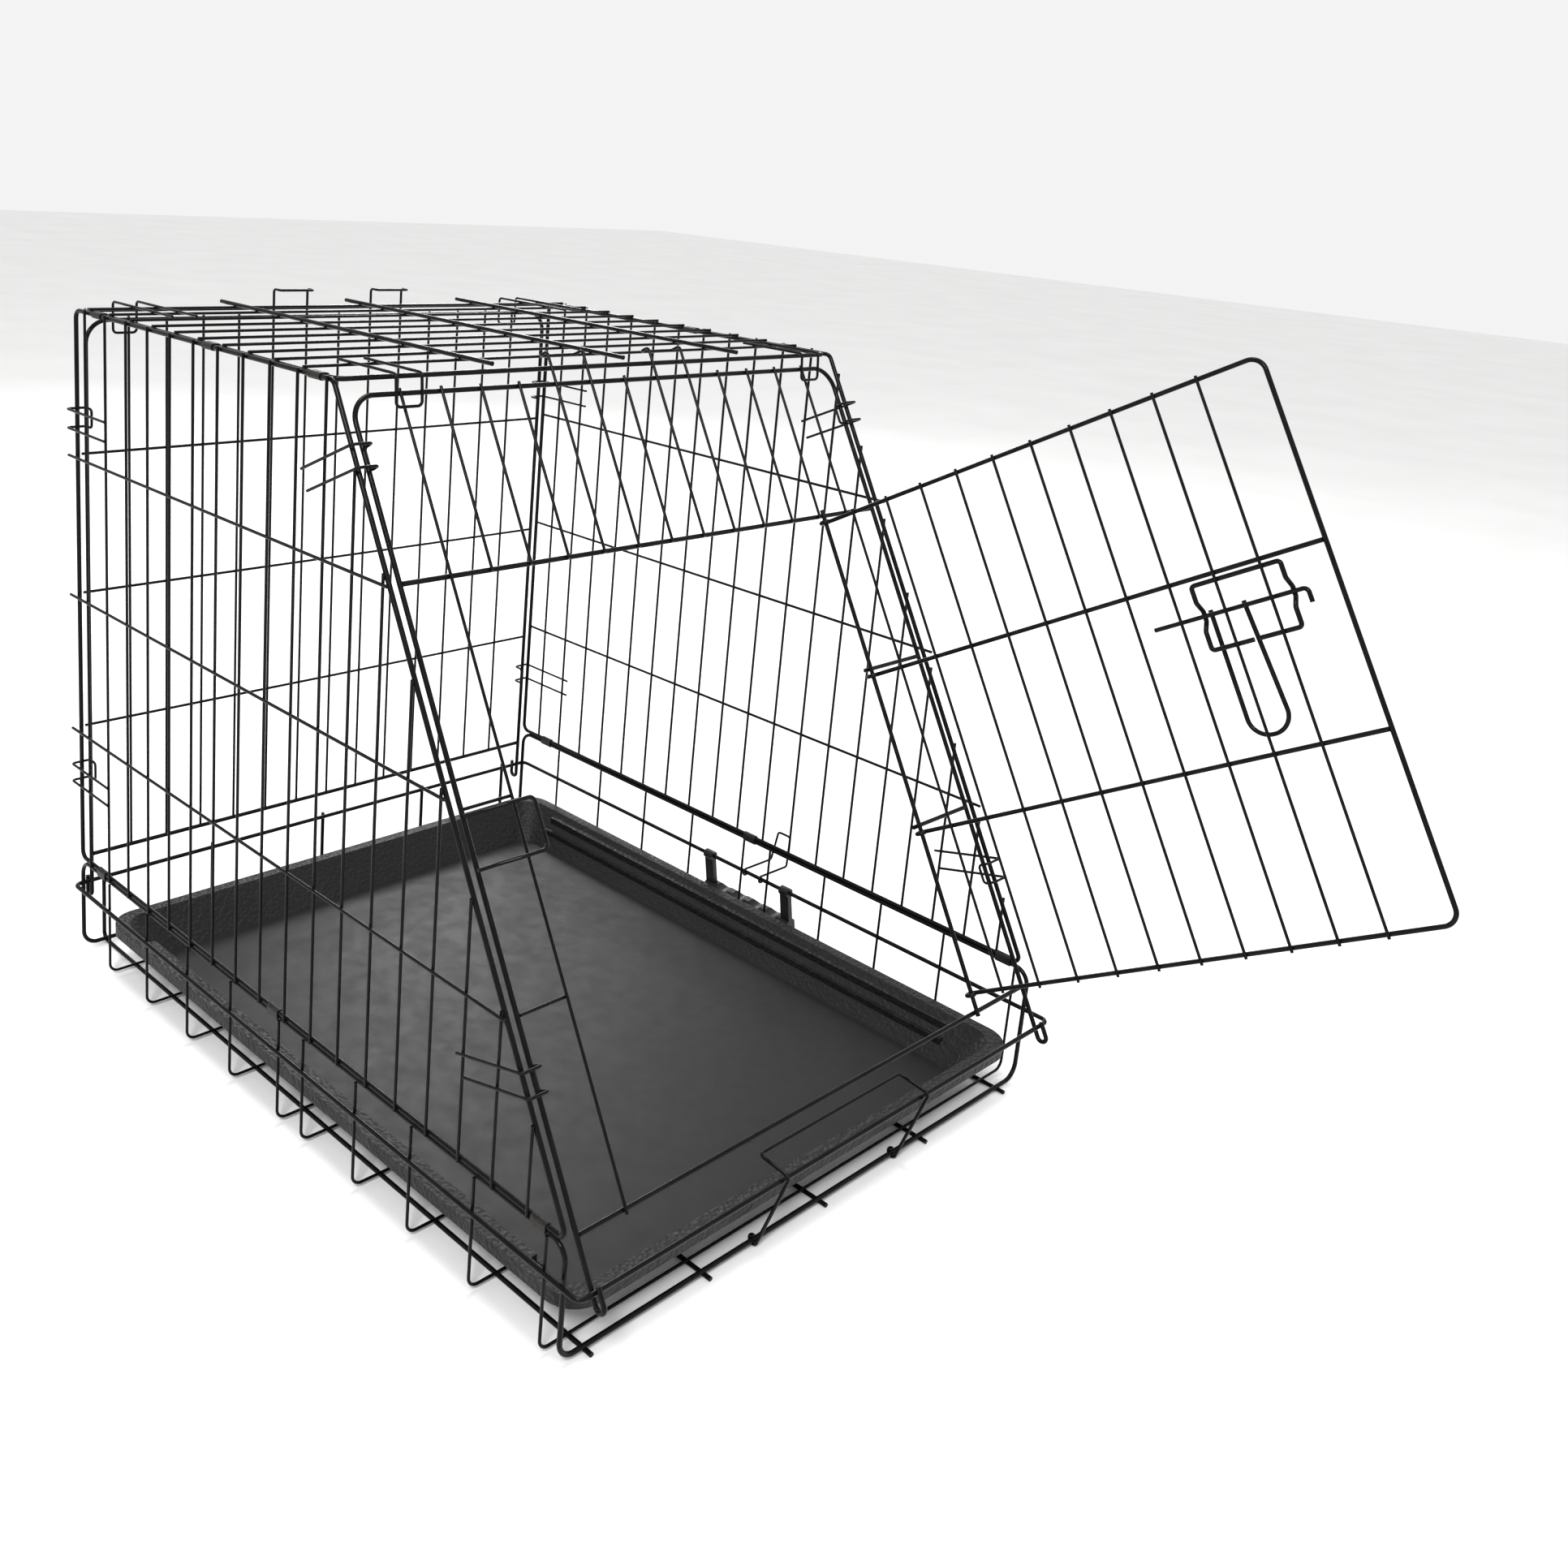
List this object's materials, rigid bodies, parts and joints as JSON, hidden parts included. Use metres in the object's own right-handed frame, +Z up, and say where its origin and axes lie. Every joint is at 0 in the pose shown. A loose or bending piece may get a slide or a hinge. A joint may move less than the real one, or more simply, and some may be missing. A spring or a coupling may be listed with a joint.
{
  "type": "wire dog crate",
  "caption": "Folding black wire dog crate with one sloped end, a side-hung door standing open with a slide bolt latch, a carry handle and a slide-out plastic tray.",
  "frame": {"origin": "centre of the base's footprint, on the floor", "axes": "+X towards the sloped door end, +Y to the right as one faces the door, +Z up"},
  "size_m": [1.1151, 0.644, 0.7195],
  "materials": {
    "black_wire": "satin",
    "clip_sheet": "worn satin",
    "tray_plastic": "textured",
    "handle_plastic": "moulded"
  },
  "bodies": {
    "shell": {"base_main_frame": "black_wire", "base_mid_ring": "black_wire", "base_cross_wires": "black_wire", "base_floor_runners": "black_wire", "bottom_hinge_clips": "clip_sheet", "top_hinge_clips": "clip_sheet", "left_panel_frame": "black_wire", "left_panel_uprights": "black_wire", "left_panel_rails": "black_wire", "left_panel_spring_hooks": "black_wire", "right_panel_frame": "black_wire", "right_panel_uprights": "black_wire", "right_panel_rails": "black_wire", "right_panel_spring_hooks": "black_wire", "top_panel_frame": "black_wire", "top_panel_cross_wires": "black_wire", "top_panel_rails": "black_wire", "top_panel_spring_hooks": "black_wire"},
    "front_panel": {"front_panel_frame": "black_wire", "front_panel_header": "black_wire", "front_panel_sill": "black_wire", "front_panel_uprights": "black_wire", "front_panel_left_jamb": "black_wire", "front_panel_hinge_jamb": "black_wire", "front_panel_rungs": "black_wire", "front_panel_latch_keeper": "black_wire", "front_panel_top_tabs": "black_wire"},
    "back_panel": {"back_panel_frame": "black_wire", "back_panel_sill": "black_wire", "back_panel_uprights": "black_wire", "back_panel_rails": "black_wire", "back_panel_top_tabs": "black_wire"},
    "door": {"door_frame": "black_wire", "door_rails": "black_wire", "door_uprights": "black_wire", "door_latch_guide": "black_wire"},
    "latch_bolt": {"latch_bolt": "black_wire"},
    "latch_handle": {"latch_handle": "black_wire"},
    "tray": {"tray": "tray_plastic"},
    "tray_lock": {"tray_lock_wire": "black_wire"},
    "carry_handle": {"carry_handle_loops": "handle_plastic", "carry_handle_grip": "handle_plastic"},
    "suitcase_catch": {"suitcase_catch": "black_wire"}
  },
  "joints": [
    {"name": "front_fold", "type": "hinge", "parent": "shell", "child": "front_panel", "pos_m": [0.39509, 0, 0.0736], "axis": [0, -1, 0], "range_deg": [0, 57.5], "deforming": ["front_panel_top_tabs"]},
    {"name": "back_fold", "type": "hinge", "parent": "shell", "child": "back_panel", "pos_m": [-0.3765, 0, 0.0736], "axis": [0, 1, 0], "range_deg": [0, 90], "deforming": ["back_panel_top_tabs"]},
    {"name": "door_swing", "type": "hinge", "parent": "front_panel", "child": "door", "pos_m": [0.25661, 0.202, 0.31548], "axis": [0.4956, 0, -0.8685], "range_deg": [-68, 97]},
    {"name": "bolt_slide", "type": "slide", "parent": "door", "child": "latch_bolt", "axis": [0.8621, 0.1219, 0.4919], "range_m": [0, 0.035]},
    {"name": "handle_lift", "type": "hinge", "parent": "latch_bolt", "child": "latch_handle", "pos_m": [0.5191, 0.251, 0.51824], "axis": [-0.8621, -0.1219, -0.4919], "range_deg": [-100, 0]},
    {"name": "tray_slide", "type": "slide", "parent": "shell", "child": "tray", "axis": [-1, 0, 0], "range_m": [-0.008, 0.036]},
    {"name": "tray_lock_swing", "type": "hinge", "parent": "shell", "child": "tray_lock", "pos_m": [0.372, 0, 0.0061], "axis": [0, -1, 0], "range_deg": [-70, 0]},
    {"name": "carry_handle_swing", "type": "hinge", "parent": "shell", "child": "carry_handle", "pos_m": [0.0105, 0.2968, 0.0736], "axis": [1, 0, 0], "range_deg": [0, 50]},
    {"name": "suitcase_catch_swing", "type": "hinge", "parent": "shell", "child": "suitcase_catch", "pos_m": [0.02, 0.2968, 0.0736], "axis": [1, 0, 0], "range_deg": [-45, 50]}
  ]
}
